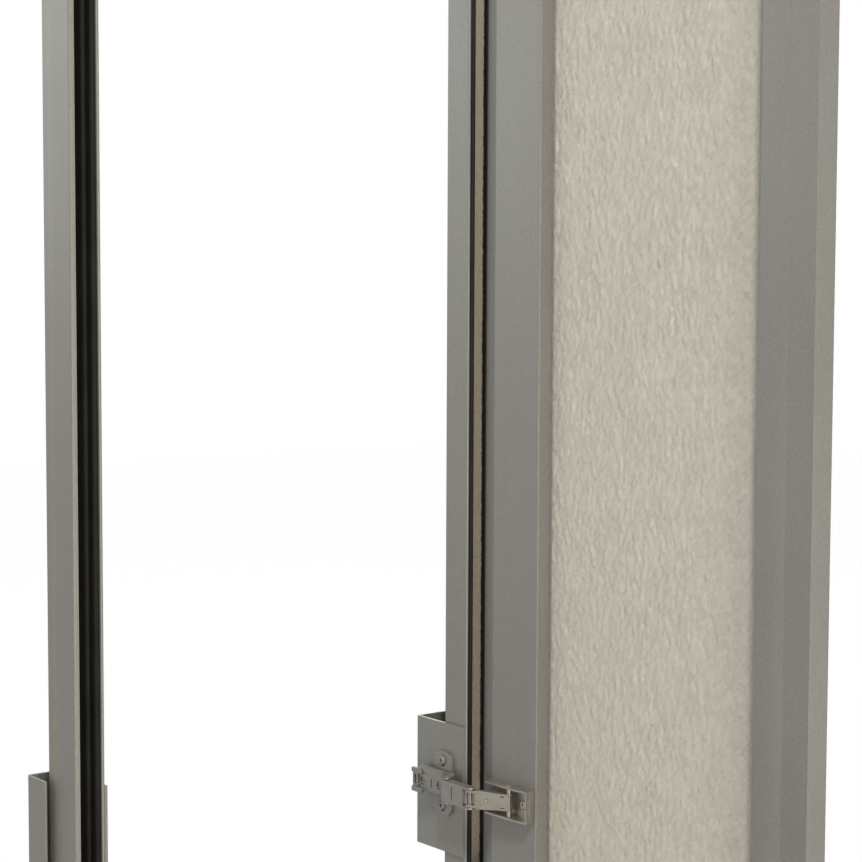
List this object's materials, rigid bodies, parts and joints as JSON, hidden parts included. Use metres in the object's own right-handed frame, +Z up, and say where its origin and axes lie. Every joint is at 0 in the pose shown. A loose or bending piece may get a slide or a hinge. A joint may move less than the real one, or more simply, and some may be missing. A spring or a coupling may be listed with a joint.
{
  "type": "access_door",
  "caption": "Steel service access door: flush leaf on two wide-angle concealed hinges in a mitred, rubber-sealed frame with wall brackets",
  "frame": {"origin": "middle of the frame's bottom face, at half the frame's depth", "axes": "+X to the hinge side across the opening, +Y into the wall, +Z up"},
  "size_m": [0.3332, 0.3688, 1.023],
  "materials": {
    "zinc_steel": "galvanised sheet, dull warm grey",
    "seal_rubber": "matt black rubber",
    "board": "pale wrinkled facing of the insulating board",
    "hinge_nickel": "satin nickel-plated pressed steel",
    "fastener_steel": "bright zinc-plated steel",
    "catch_plastic": "grey moulded plastic",
    "plunger_plastic": "pale moulded plastic",
    "spring_steel": "drawn spring wire"
  },
  "bodies": {
    "frame": {"adjusting_screws": "fastener_steel", "arm_clip_lower": "hinge_nickel", "arm_clip_upper": "hinge_nickel", "arm_pins": "fastener_steel", "bracket_left_lower": "zinc_steel", "bracket_left_upper": "zinc_steel", "bracket_right_lower": "zinc_steel", "bracket_right_upper": "zinc_steel", "catch_body_lower": "catch_plastic", "catch_body_upper": "catch_plastic", "catch_caps": "catch_plastic", "catch_screws": "fastener_steel", "corner_plates": "zinc_steel", "corner_rivets": "fastener_steel", "hinge_arm_lower": "hinge_nickel", "hinge_arm_upper": "hinge_nickel", "jamb_left": "zinc_steel", "jamb_right": "zinc_steel", "mounting_plate_lower": "hinge_nickel", "mounting_plate_upper": "hinge_nickel", "plate_screws": "fastener_steel", "rail_bottom": "zinc_steel", "rail_top": "zinc_steel", "seal_bottom": "seal_rubber", "seal_left": "seal_rubber", "seal_right": "seal_rubber", "seal_top": "seal_rubber"},
    "front_links": {"front_link_lower": "hinge_nickel", "front_link_upper": "hinge_nickel", "middle_pins": "fastener_steel"},
    "cup_links": {"cup_link_lower": "hinge_nickel", "cup_link_upper": "hinge_nickel"},
    "leaf": {"cup_box_lower": "hinge_nickel", "cup_box_upper": "hinge_nickel", "leaf_bottom_rail": "zinc_steel", "leaf_skin": "zinc_steel", "leaf_top_rail": "zinc_steel", "striker_screws": "fastener_steel", "strikers": "fastener_steel", "hinge_stile": "zinc_steel", "free_stile": "zinc_steel", "infill_panel": "board", "cup_backing_plates": "zinc_steel", "cup_screws": "fastener_steel", "cup_pins": "fastener_steel"},
    "catch_plunger_lower": {"catch_plunger_lower": "plunger_plastic", "catch_spring_lower": "spring_steel"},
    "catch_plunger_upper": {"catch_plunger_upper": "plunger_plastic", "catch_spring_upper": "spring_steel"}
  },
  "joints": [
    {"name": "front_link_swing", "type": "hinge", "parent": "frame", "child": "front_links", "pos_m": [0.1265, -0.014, 0.5135], "axis": [0, 0, -1], "range_deg": [-28.5, 170.99]},
    {"name": "cup_link_swing", "type": "hinge", "parent": "front_links", "child": "cup_links", "pos_m": [0.126, -0.0415, 0.5135], "axis": [0, 0, -1], "range_deg": [-123.8, 20.8]},
    {"name": "leaf_swing", "type": "hinge", "parent": "cup_links", "child": "leaf", "pos_m": [0.14, -0.0665, 0.5135], "axis": [0, 0, -1], "range_deg": [-7.3, 42.8]},
    {"name": "catch_plunger_lower_slide", "type": "slide", "parent": "frame", "child": "catch_plunger_lower", "axis": [0, 1, 0], "range_m": [0, 0.004], "stiffness_N_per_m": 400, "springref_m": -0.002},
    {"name": "catch_plunger_upper_slide", "type": "slide", "parent": "frame", "child": "catch_plunger_upper", "axis": [0, 1, 0], "range_m": [0, 0.004], "stiffness_N_per_m": 400, "springref_m": -0.002}
  ],
  "couplings": [
    {"joint": "cup_link_swing", "follows": "front_link_swing", "ratio": -0.72325},
    {"joint": "leaf_swing", "follows": "front_link_swing", "ratio": 0.24958}
  ]
}
